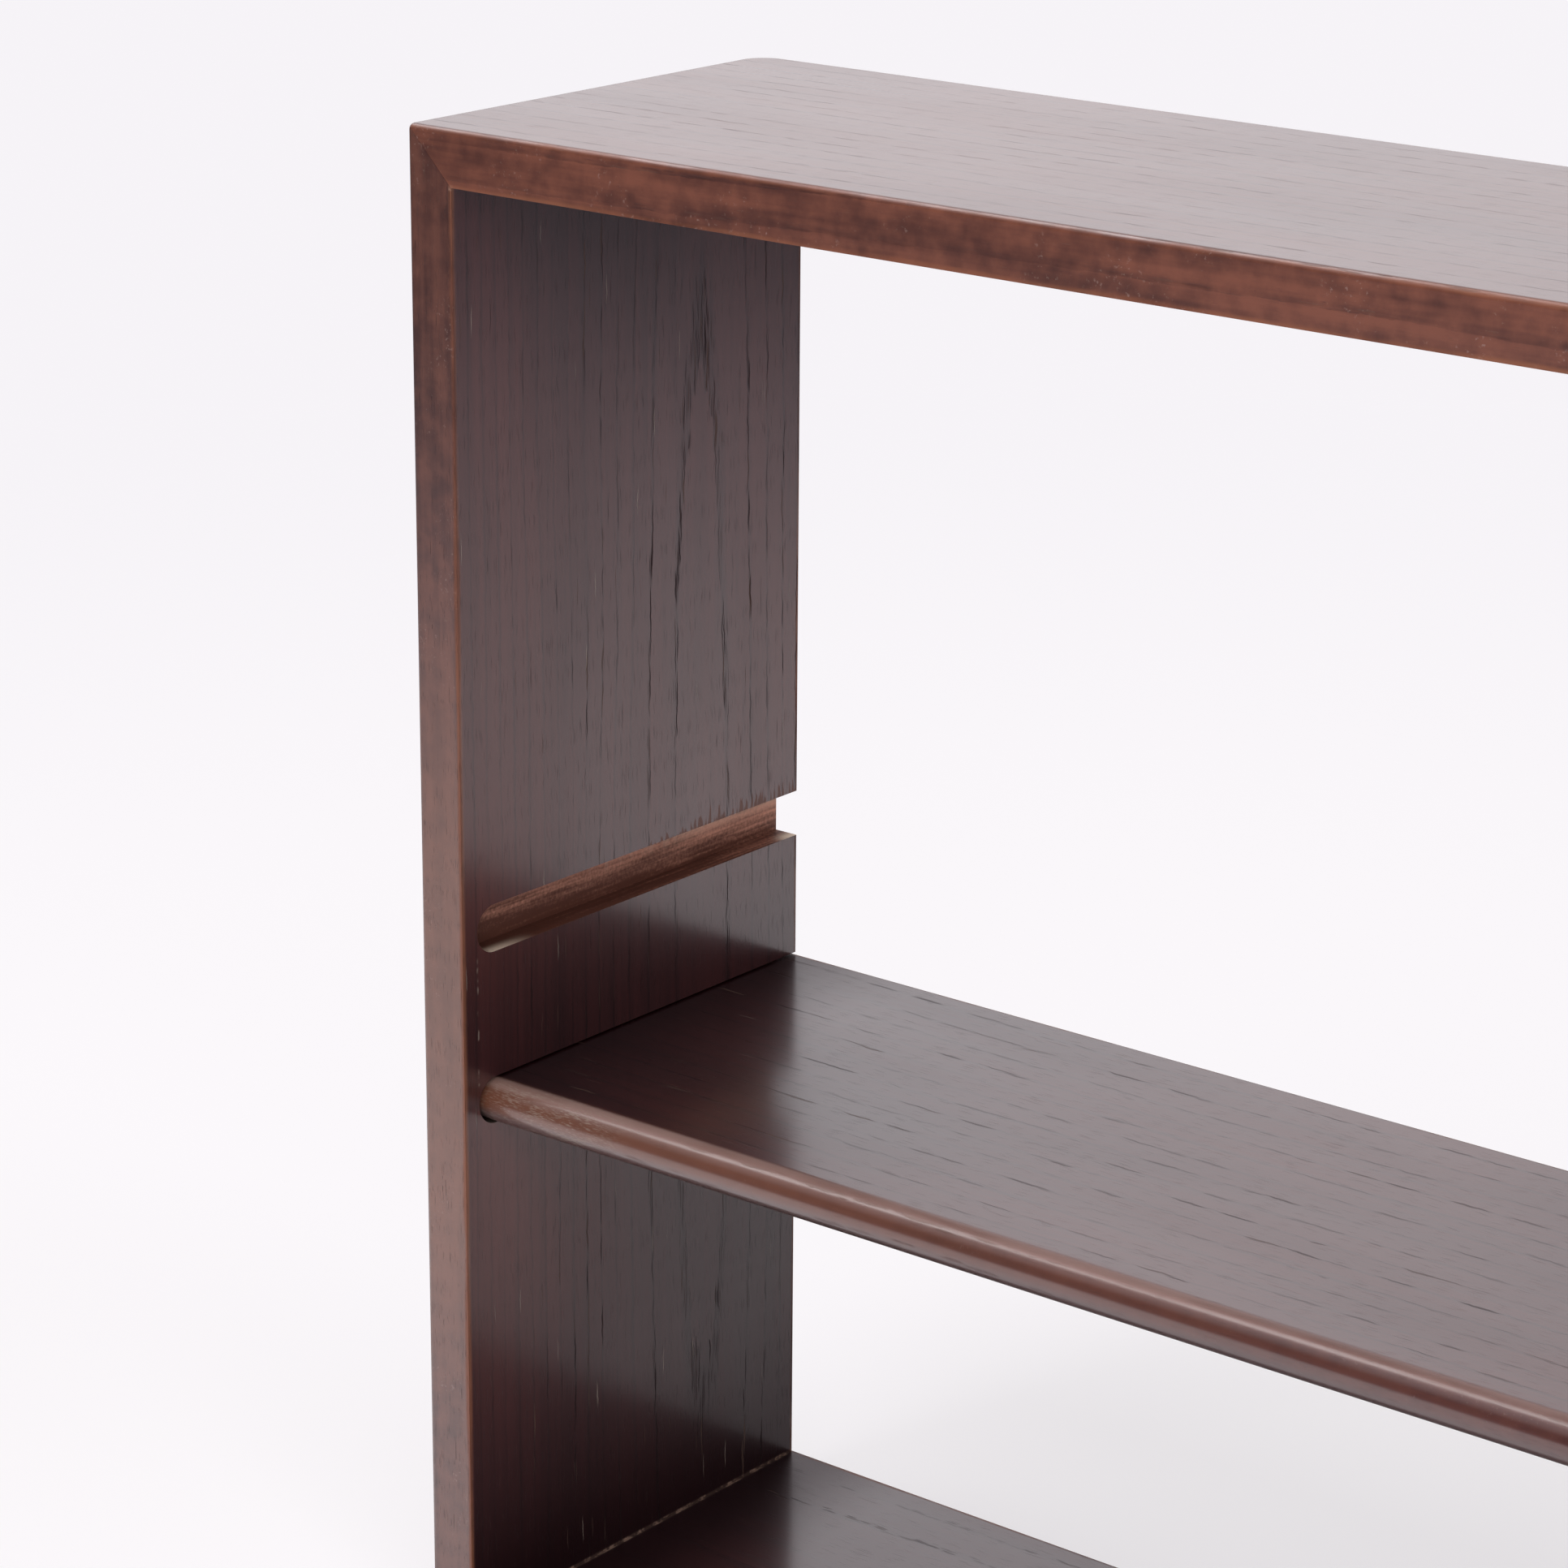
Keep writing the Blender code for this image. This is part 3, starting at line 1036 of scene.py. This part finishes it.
def edge_span(edge: BMEdge) -> Vector:
    """Return the vector along an edge."""
    return edge.verts[1].co - edge.verts[0].co


def edge_middle(edge: BMEdge) -> Vector:
    """Return the middle of an edge."""
    return (edge.verts[0].co + edge.verts[1].co) / 2


def round_edges(shape: BMesh, edges: list[BMEdge], radius: float, segments: int) -> list[BMFace]:
    """Round some edges of a bmesh.

    Args:
        shape: The bmesh.
        edges: The edges to round.
        radius: How far the round reaches from each edge.
        segments: Facets along the round.

    Returns:
        The faces of the rounds.
    """
    made = bmesh.ops.bevel(
        shape,
        geom=edges,
        offset=radius,
        offset_type="OFFSET",
        affect="EDGES",
        segments=segments,
        profile=0.5,
        material=-1,
        clamp_overlap=True,
    )
    return made["faces"]


def saw_off(shape: BMesh, point: Vector, normal: Vector) -> None:
    """Cut a bmesh along a plane, drop what lies behind the plane's normal and close the cut.

    Args:
        shape: The bmesh.
        point: A point of the plane.
        normal: The direction that is kept.
    """
    everything = [*shape.verts, *shape.edges, *shape.faces]
    bmesh.ops.bisect_plane(shape, geom=everything, plane_co=point, plane_no=normal, clear_inner=True)
    rim = [edge for edge in shape.edges if edge.is_boundary]
    bmesh.ops.holes_fill(shape, edges=rim, sides=0)


def add_nosed_bar(shape: BMesh, low: Vector, high: Vector, segments: int) -> None:
    """Add a bar along X to a bmesh, with a full half round as its front.

    Args:
        shape: The bmesh.
        low: The bar's lowest corner.
        high: Its highest corner.
        segments: Facets along each quarter of the round.
    """
    edges = add_box(shape, low, high)
    along = [edge for edge in edges if abs(edge_span(edge).x) > (high.x - low.x) / 2]
    nose = [edge for edge in along if edge_middle(edge).y < (low.y + high.y) / 2]
    round_edges(shape, nose, (high.z - low.z) / 2, segments)
    bmesh.ops.remove_doubles(shape, verts=shape.verts, dist=WELD)


def mesh_from(name: str, shape: BMesh) -> Mesh:
    """Turn a bmesh into a mesh.

    Args:
        name: The mesh's name.
        shape: The bmesh, which is freed.

    Returns:
        The mesh.
    """
    mesh = bpy.data.meshes.new(name)
    shape.to_mesh(mesh)
    shape.free()
    return mesh


def linked(name: str, data: ID) -> Object:
    """Put an object into the scene.

    Args:
        name: The object's name.
        data: Its mesh, lamp or camera.

    Returns:
        The object.
    """
    made = bpy.data.objects.new(name, data)
    bpy.context.scene.collection.objects.link(made)
    return made


def finished_piece(name: str, shape: BMesh, materials: list[Material]) -> Object:
    """Turn a bmesh into a smooth-shaded object at the origin.

    Args:
        name: The piece's name.
        shape: The bmesh, which is freed.
        materials: Its materials, in the order of its slots.

    Returns:
        The object.
    """
    bmesh.ops.remove_doubles(shape, verts=shape.verts, dist=WELD)
    bmesh.ops.dissolve_degenerate(shape, edges=shape.edges, dist=WELD)
    bmesh.ops.recalc_face_normals(shape, faces=shape.faces)
    mesh = mesh_from(name, shape)
    for material in materials:
        mesh.materials.append(material)
    mesh.shade_smooth()
    mesh.set_sharp_from_angle(angle=SMOOTH_ANGLE)
    piece = linked(name, mesh)
    weighted = piece.modifiers.new("flat_faces", "WEIGHTED_NORMAL")
    weighted.keep_sharp = True
    return piece


def cut_away(shape: BMesh, cutter: BMesh) -> BMesh:
    """Cut one bmesh out of another.

    Args:
        shape: The bmesh that is cut, which is freed.
        cutter: The bmesh that cuts, which is freed.

    Returns:
        What is left, as a new bmesh.
    """
    items = []
    for name, source in (("cut_body", shape), ("cut_tool", cutter)):
        bmesh.ops.recalc_face_normals(source, faces=source.faces)
        items.append(linked(name, mesh_from(name, source)))
    body, tool = items
    boolean = body.modifiers.new("cut", "BOOLEAN")
    boolean.operation = "DIFFERENCE"
    boolean.solver = "EXACT"
    boolean.object = tool
    result = bpy.data.meshes.new_from_object(body.evaluated_get(bpy.context.evaluated_depsgraph_get()))
    left = bmesh.new()
    left.from_mesh(result)
    bpy.data.meshes.remove(result)
    for item in items:
        mesh = item.data
        bpy.data.objects.remove(item)
        bpy.data.meshes.remove(mesh)
    return left


@dataclass
class SlotCuts:
    """The stopped slots that are routed into each side, open at the back."""

    height: float = 0.016
    depth: float = 0.009
    front_stop: float = 0.007
    pitch: float = 0.059
    lip: float = 0.0007
    lip_segments: int = 2
    overrun: float = 0.004
    segments: int = 10
    pale_front: float = -0.078
    pale_back: float = 0.085
    line_end: float = 0.002

    def levels(self, middle: float) -> tuple[float, float]:
        """Return the heights of the upper and lower slots."""
        return middle, middle - self.pitch


@dataclass
class Dowels:
    """The beech dowels inside the mitres, which keep their CAD shapes."""

    prefix: str = "dowel_"
    room: float = 0.0003
    end_room: float = 0.0009
    segments: int = 24
    slope: float = math.radians(45)
    finish: BareBeech = BareBeech()

    def names(self) -> list[str]:
        """Return the dowels' CAD nodes."""
        return [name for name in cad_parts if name.startswith(self.prefix)]

    def holes(self) -> BMesh:
        """Make the cutter for the dowels' holes, which lie across the mitres in all four boards.

        Returns:
            The cutter.
        """
        shape = bmesh.new()
        middle = (CAD_BOX[0] + CAD_BOX[1]) / 2
        for name in self.names():
            low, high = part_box(name)
            place = (low + high) / 2
            size = high - low
            falling = (place.x - middle.x) * (place.z - middle.z) > 0
            turn = Matrix.Rotation(-self.slope if falling else self.slope, 4, "Y")
            radius = size.y / 2 + self.room
            bmesh.ops.create_cone(
                shape,
                cap_ends=True,
                segments=self.segments,
                radius1=radius,
                radius2=radius,
                depth=size.x * math.sqrt(2) - size.y + 2 * self.end_room,
                matrix=Matrix.Translation(place) @ turn,
            )
        return shape

    def dress(self) -> int:
        """Give every dowel its finish.

        Returns:
            How many dowels there are.
        """
        material = self.finish.material("dowel_beech")
        names = self.names()
        for name in names:
            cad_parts[name].data.materials.clear()
            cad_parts[name].data.materials.append(material)
        return len(names)


@dataclass
class Carcase:
    """The four mitred boards that stand round the shelf."""

    low: Vector
    high: Vector
    board: float
    dowels: Dowels
    back_radius: float = 0.010
    back_segments: int = 16
    outer_arris: float = 0.0020
    outer_segments: int = 5
    inner_arris: float = 0.0010
    inner_segments: int = 3
    mitre_gap: float = 0.00006
    slots: SlotCuts = field(default_factory=SlotCuts)
    left_figure: SawnFigure = SawnFigure(
        Grain.ALONG_HEIGHT, 0.034, -0.322, 0.063, 0.248, 0.0060, 3.7, coverage=0.06, lean=3.4
    )
    right_figure: SawnFigure = SawnFigure(
        Grain.ALONG_HEIGHT, -0.020, 0.330, 0.080, 0.300, 0.0065, 11.3, coverage=0.05, lean=1.5
    )
    top_figure: SawnFigure = SawnFigure(
        Grain.ALONG_WIDTH, -0.150, 0.440, 0.020, 0.100, 0.0085, 23.1, (90.0, 1000.0), 0.35
    )
    bottom_figure: SawnFigure = SawnFigure(
        Grain.ALONG_WIDTH, 0.030, -0.060, 0.050, -0.100, 0.0075, 31.9, (130.0, 800.0), 0.45
    )
    finish: StainedAsh = StainedAsh()
    # A lighter copy of the stain for the top board, painted light for the light it gets from above.
    painted_lit: StainedAsh = StainedAsh(
        deep=(0.066, 0.021, 0.0155),
        warm=(0.128, 0.045, 0.031),
        edge_deep=(0.056, 0.0165, 0.0105),
        edge_warm=(0.172, 0.0560, 0.0325),
    )
    routed: RoutedWood = RoutedWood()
    # Painted light and shade on the sides: darker corners, a lighter middle, light from the front low down
    # and a paler front edge.
    side_painted_light_and_shade: PaintedLightAndShade = PaintedLightAndShade(
        unshaded=Span(0.015, 0.095, 0.600, 0.700),
        painted_lit=Span(0.215, 0.290, 0.400, 0.515),
        front=Span(0.060, 0.180, 0.198, 0.202),
        painted_lit_edge=Span(0.080, 0.170, 0.260, 0.400),
    )
    # Painted shade in the bottom board's corners at its ends.
    bottom_painted_shade: PaintedLightAndShade = PaintedLightAndShade(Span(-0.272, -0.225, 0.225, 0.272))

    def envelope(self) -> BMesh:
        """Make the carcase's whole outside, with its round back corners and eased arrises.

        Returns:
            The bmesh.
        """
        shape = bmesh.new()
        edges = add_box(shape, self.low, self.high)
        upright = [edge for edge in edges if abs(edge_span(edge).z) > self.board]
        back = [edge for edge in upright if edge_middle(edge).y > 0]
        round_edges(shape, back, self.back_radius, self.back_segments)
        sharp = [edge for edge in shape.edges if edge.calc_face_angle() > SHARP_ANGLE]
        round_edges(shape, sharp, self.outer_arris, self.outer_segments)
        return shape

    def board_shape(self, outward: Vector) -> BMesh:
        """Saw one board from the carcase's outside.

        Args:
            outward: The direction that the board's outer face looks.

        Returns:
            The board, mitred and with its inner arrises eased.
        """
        shape = self.envelope()
        centre = (self.low + self.high) / 2
        half = (self.high - self.low) / 2
        reach = abs(outward.dot(half))
        inner = centre + outward * (reach - self.board)
        saw_off(shape, inner, outward)
        long_edges = [
            edge
            for edge in shape.edges
            if all(abs((corner.co - inner).dot(outward)) < TOUCH for corner in edge.verts)
            and edge.calc_length() > half.y
            and abs(edge_span(edge).y) < self.board
        ]
        round_edges(shape, long_edges, self.inner_arris, self.inner_segments)
        sideways = Vector((outward.z, 0, outward.x))
        width = abs(sideways.dot(half))
        for sign in (-1, 1):
            corner = centre + outward * reach + sideways * (sign * width)
            normal = (outward - sideways * sign).normalized()
            saw_off(shape, corner + normal * (self.mitre_gap / 2), normal)
        return shape

    def slot_cutter(self, side: int) -> BMesh:
        """Make the cutter for one side's slots.

        Args:
            side: -1 for the left side, 1 for the right.

        Returns:
            The cutter, whose faces belong to the routed slot.
        """
        cuts = self.slots
        shape = bmesh.new()
        inner = side * (self.high.x - self.board)
        ends = sorted((inner + side * cuts.depth, inner - side * cuts.overrun))
        for level in cuts.levels((self.low.z + self.high.z) / 2):
            low = Vector((ends[0], self.low.y + cuts.front_stop, level - cuts.height / 2))
            high = Vector((ends[1], self.high.y + cuts.overrun, level + cuts.height / 2))
            add_nosed_bar(shape, low, high, cuts.segments)
        for face in shape.faces:
            face.material_index = Slot.ROUTED.value
        return shape

    def ease_slot_lips(self, shape: BMesh, side: int) -> None:
        """Break the sharp mouths of one side's slots.

        Args:
            shape: The side's bmesh.
            side: -1 for the left side, 1 for the right.
        """
        inner = side * (self.high.x - self.board)
        mouth = [
            edge
            for edge in shape.edges
            if {face.material_index for face in edge.link_faces} == {Slot.FACE.value, Slot.ROUTED.value}
            and all(abs(corner.co.x - inner) < TOUCH for corner in edge.verts)
        ]
        for face in round_edges(shape, mouth, self.slots.lip, self.slots.lip_segments):
            face.material_index = Slot.ROUTED.value

    def dress(self, name: str, shape: BMesh, materials: list[Material]) -> Object:
        """Bore a board for its dowels, finish it and put it in its CAD node's place.

        Args:
            name: The CAD node that the board replaces.
            shape: The board's bmesh.
            materials: The board's materials, in the order of its slots.

        Returns:
            The finished piece.
        """
        bored = cut_away(shape, self.dowels.holes())
        piece = finished_piece(name + "_planed", bored, materials)
        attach(piece, "carcase")
        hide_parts(name)
        return piece

    def build(self) -> list[Object]:
        """Build and dress the four boards.

        Returns:
            The finished pieces.
        """
        centre = (self.low + self.high) / 2
        ends = {"front": self.low.y, "back": self.high.y}
        inside = self.high - centre - Vector((self.board, 0, self.board))
        upper, lower = self.slots.levels(centre.z)
        half_slot = self.slots.height / 2
        start = lower + half_slot
        end = upper - half_slot
        line = Span(start - self.slots.line_end, start, end - self.slots.line_end, end)
        scars = SlotScars(upper + half_slot, line, self.low.y + self.slots.front_stop)
        pieces = []
        for name, side, figure in (
            ("left_side", -1, self.left_figure),
            ("right_side", 1, self.right_figure),
        ):
            shape = cut_away(self.board_shape(Vector((side, 0, 0))), self.slot_cutter(side))
            self.ease_slot_lips(shape, side)
            outer = side * self.high.x
            inner = outer - side * self.board
            arris = ArrisPlanes(outer=outer, inner=inner, corners=(centre.z, inside.z), **ends)
            face = self.finish.material(name + "_stain", figure, arris, scars, painted_light_and_shade=self.side_painted_light_and_shade)
            routed = self.routed.material(name + "_routed", figure.seed, self.slots, centre.z, inside.x)
            pieces.append(self.dress(name, shape, [face, routed]))
        # The top board takes that lighter, painted-light copy of the stain.
        for name, side, figure, finish, painted_light_and_shade in (
            ("top_board", 1, self.top_figure, self.painted_lit, None),
            ("bottom_board", -1, self.bottom_figure, self.finish, self.bottom_painted_shade),
        ):
            shape = self.board_shape(Vector((0, 0, side)))
            outer = centre.z + side * (self.high.z - centre.z)
            inner = outer - side * self.board
            arris = ArrisPlanes(outer=outer, inner=inner, corners=(centre.x, inside.x), **ends)
            stain = finish.material(name + "_stain", figure, arris, painted_light_and_shade=painted_light_and_shade)
            pieces.append(self.dress(name, shape, [stain]))
        return pieces


@dataclass
class SlidingShelf:
    """The loose shelf, with its round nose to the front."""

    low: Vector
    high: Vector
    back_arris: float = 0.0008
    back_segments: int = 3
    segments: int = 14
    scuff_place: float = 0.034
    scuff_reach: float = 0.040
    paled_length: float = 0.40
    reflection_low: float = 0.25
    reflection_high: float = 0.50
    nose_reach: Reach = (0.0040, 0.0085)
    nose_share: float = 0.40
    figure: SawnFigure = SawnFigure(
        Grain.ALONG_WIDTH, 0.150, 0.130, 0.030, 0.050, 0.0090, 41.7, (66.0, 700.0), 0.54, 0.12
    )
    finish: StainedAsh = StainedAsh()
    # Painted shade at the shelf's ends and painted light along its middle and right.
    painted_light_and_shade: PaintedLightAndShade = PaintedLightAndShade(Span(-0.290, -0.225, 0.225, 0.290), Span(-0.250, -0.020, 0.250, 0.290))

    def build(self) -> Object:
        """Build and dress the shelf.

        Returns:
            The finished piece.
        """
        shape = bmesh.new()
        add_nosed_bar(shape, self.low, self.high, self.segments)
        back = [
            edge
            for edge in shape.edges
            if edge_middle(edge).y > self.high.y - TOUCH and abs(edge_span(edge).x) > TOUCH
        ]
        round_edges(shape, back, self.back_arris, self.back_segments)
        planes = (self.low.z, self.high.z, self.low.y, self.high.y)
        arris = ArrisPlanes(*planes, edge_reach=self.nose_reach, edge_share=self.nose_share)
        paled = (self.low.x, self.low.x + self.paled_length)
        thickness = self.high.z - self.low.z
        reflection_heights = (self.low.z + self.reflection_low * thickness, self.low.z + self.reflection_high * thickness)
        scuff = NoseScuff(self.low.x + self.scuff_place, self.scuff_reach, paled, reflection_heights)
        stain = self.finish.material("shelf_stain", self.figure, arris, None, scuff, self.painted_light_and_shade)
        piece = finished_piece("adjustable_shelf_planed", shape, [stain])
        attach(piece, "shelf")
        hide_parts("adjustable_shelf")
        return piece


@dataclass(frozen=True)
class Softbox:
    """A square softbox that lights the unit."""

    name: str
    place: Point
    size: float
    power: float
    mirrored: bool = False

    def hang(self, target: Vector) -> None:
        """Hang the softbox, facing a point.

        Args:
            target: The point that it faces.
        """
        lamp = bpy.data.lights.new(self.name, "AREA")
        lamp.shape = "SQUARE"
        lamp.size = self.size
        lamp.energy = self.power
        box = linked(self.name, lamp)
        box.visible_camera = False
        box.visible_glossy = self.mirrored
        box.location = self.place
        box.rotation_euler = (target - box.location).to_track_quat("-Z", "Y").to_euler()


@dataclass
class Studio:
    """A white sweep under soft light, seen at the photograph's angle."""

    white: Colour = (0.924, 0.899, 0.932)
    mirrored_white: Colour = (0.990, 0.965, 1.000)
    floor_colour: Colour = (0.94, 0.914, 0.925)
    floor_glow: Colour = (0.990, 0.962, 0.990)
    far_mirror: Colour = (0.850, 0.870, 1.000)
    floor_lift: float = 0.62
    back_lift: float = 0.28
    back_reach: Reach = (0.17, 0.38)
    back_start: Reach = (-0.05, 0.20)
    lift_reach: Reach = (0.8, 2.0)
    mirror_reach: Reach = (0.45, 2.7)
    mirror_far: float = 0.06
    mirror_lift: float = 0.60
    mirror_near: float = 0.80
    shade_place: Point = (-0.05, 0.16, 0.0)
    shade_reach: Reach = (0.12, 0.50)
    shade_depth: float = 0.70
    dim_reach: Reach = (-0.45, 0.35)
    dim_depth: float = 0.28
    floor_size: float = 40.0
    floor_drop: float = 0.0003
    ambient: float = 0.05
    backdrop_way: Point = (-0.85, 0.53, 0.0)
    backdrop_reach: Reach = (0.40, 0.90)
    room_mirror: float = 0.08
    ceiling_mirror: float = 0.60
    ceiling_reach: Reach = (0.30, 0.75)
    softboxes: tuple[Softbox, ...] = (
        Softbox("key_softbox", (-0.25, -1.35, 2.05), 0.8, 20.0),
        Softbox("fill_softbox", (1.72, -1.85, 1.35), 2.2, 66.0),
        Softbox("left_softbox", (-1.30, -0.22, 2.35), 1.3, 17.0, True),
        Softbox("rear_softbox", (-1.55, 1.05, 2.35), 1.1, 16.0),
    )
    eye: Point = (0.69882, -1.13997, 0.77452)
    turn: Point = (72.189, -0.361, 38.960)
    lens: float = 109.86
    sensor: float = 36.0
    nearest: float = 0.01

    def seen_rays(self, graph: ShaderGraph) -> tuple[Num, Num]:
        """Tell apart the rays that see the white backdrop.

        Args:
            graph: The graph of the floor or the surroundings.

        Returns:
            1 for the rays that look at the backdrop, and 1 for those that mirror it.
        """
        path = graph.node("ShaderNodeLightPath").outputs
        looking = Num(graph, path["Is Camera Ray"]).most(Num(graph, path["Is Transmission Ray"]))
        return looking, Num(graph, path["Is Glossy Ray"])

    def light_world(self) -> None:
        """Make the white surroundings, dimmer in front and for the light that they shed."""
        world = bpy.data.worlds.new("sweep_light")
        bpy.context.scene.world = world
        world.use_nodes = True
        graph = ShaderGraph(world.node_tree)
        looking, mirrored = self.seen_rays(graph)
        way = graph.node("ShaderNodeTexCoord").outputs["Generated"]
        toward = graph.measure("DOT_PRODUCT", way, self.backdrop_way).step(*self.backdrop_reach)
        height = graph.axes(way)[2].step(*self.ceiling_reach)
        open_room = self.room_mirror + height * (self.ceiling_mirror - self.room_mirror)
        mirror = toward.most(open_room)
        strength = looking + mirrored * mirror + (1 - looking.most(mirrored)) * self.ambient
        tint = graph.mix(mirrored, self.white, self.mirrored_white)
        back = graph.node("ShaderNodeBackground", None, {"Color": graph.scaled(tint, strength)})
        graph.node("ShaderNodeOutputWorld", None, {"Surface": back.outputs[0]})

    def paper(self) -> Material:
        """Make the floor's paper, white far off and shadowed near the unit, with a painted shadow in its
        reflection.

        Returns:
            The material.
        """
        material, graph = new_material("floor_paper")
        looking, mirrored = self.seen_rays(graph)
        place = graph.place()
        x, y, _ = graph.axes(place)
        far = graph.measure("LENGTH", place)
        gap = graph.measure("DISTANCE", place, self.shade_place)
        away = far.step(*self.lift_reach)
        # Painted shadow: the floor's reflection is darker near the unit and to the front right, and fades
        # far off.
        shade = 1 - (1 - gap.step(*self.shade_reach)) * self.shade_depth
        fade = 1 - far.step(*self.mirror_reach) * (1 - self.mirror_far)
        front_right = x.step(*self.dim_reach) * (1 - y.step(*self.dim_reach))
        mirror = fade * shade * (1 - front_right * self.dim_depth) * self.mirror_near
        tint = graph.mix(away, self.floor_glow, graph.mix(mirrored, self.white, self.far_mirror))
        shine = graph.scaled(tint, looking + mirrored * mirror)
        # Painted light: seen by the camera, the paper behind the unit is lifted further towards white.
        beyond = gap.step(*self.back_reach) * y.step(*self.back_start)
        lift = looking * (self.floor_lift + beyond * self.back_lift) + mirrored * self.mirror_lift
        share = lift * (1 - away) + away * looking.most(mirrored)
        matte = graph.node("ShaderNodeBsdfDiffuse", None, {"Color": rgba(self.floor_colour)})
        glow = graph.node("ShaderNodeEmission", None, {"Color": shine})
        mixed = graph.node("ShaderNodeMixShader", None, {0: share, 1: matte.outputs[0], 2: glow.outputs[0]})
        graph.node("ShaderNodeOutputMaterial", None, {"Surface": mixed.outputs[0]})
        return material

    def lay_floor(self) -> None:
        """Make the pale floor, which keeps the unit's shadow."""
        shape = bmesh.new()
        bmesh.ops.create_grid(shape, x_segments=1, y_segments=1, size=self.floor_size / 2)
        bmesh.ops.translate(shape, verts=shape.verts, vec=Vector((0, 0, -self.floor_drop)))
        mesh = mesh_from("studio_floor", shape)
        mesh.materials.append(self.paper())
        floor = linked("studio_floor", mesh)

    def place_camera(self) -> None:
        """Stand the camera where the photograph was taken."""
        lens = bpy.data.cameras.new("photo_camera")
        lens.lens = self.lens
        lens.sensor_width = self.sensor
        lens.clip_start = self.nearest
        camera = linked("photo_camera", lens)
        camera.location = self.eye
        camera.rotation_euler = Euler([math.radians(angle) for angle in self.turn])
        bpy.context.scene.camera = camera

    def build(self) -> None:
        """Set up the surroundings, the floor, the light and the camera."""
        self.light_world()
        self.lay_floor()
        middle = (CAD_BOX[0] + CAD_BOX[1]) / 2
        for softbox in self.softboxes:
            softbox.hang(middle)
        self.place_camera()
        bpy.context.scene.view_settings.view_transform = "Standard"


def main() -> None:
    """Build the looks in order."""
    logging.basicConfig(level=logging.INFO, format="%(name)s: %(message)s")
    left_low, left_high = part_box("left_side")
    dowels = Dowels()
    carcase = Carcase(CAD_BOX[0], CAD_BOX[1], left_high.x - left_low.x, dowels)
    for piece in carcase.build():
        LOG.info("built %s, %d faces", piece.name, len(piece.data.polygons))
    shelf = SlidingShelf(*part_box("adjustable_shelf")).build()
    LOG.info("built %s, %d faces", shelf.name, len(shelf.data.polygons))
    LOG.info("dressed %d dowels", dowels.dress())
    Studio().build()


if __name__ == "__main__":
    main()
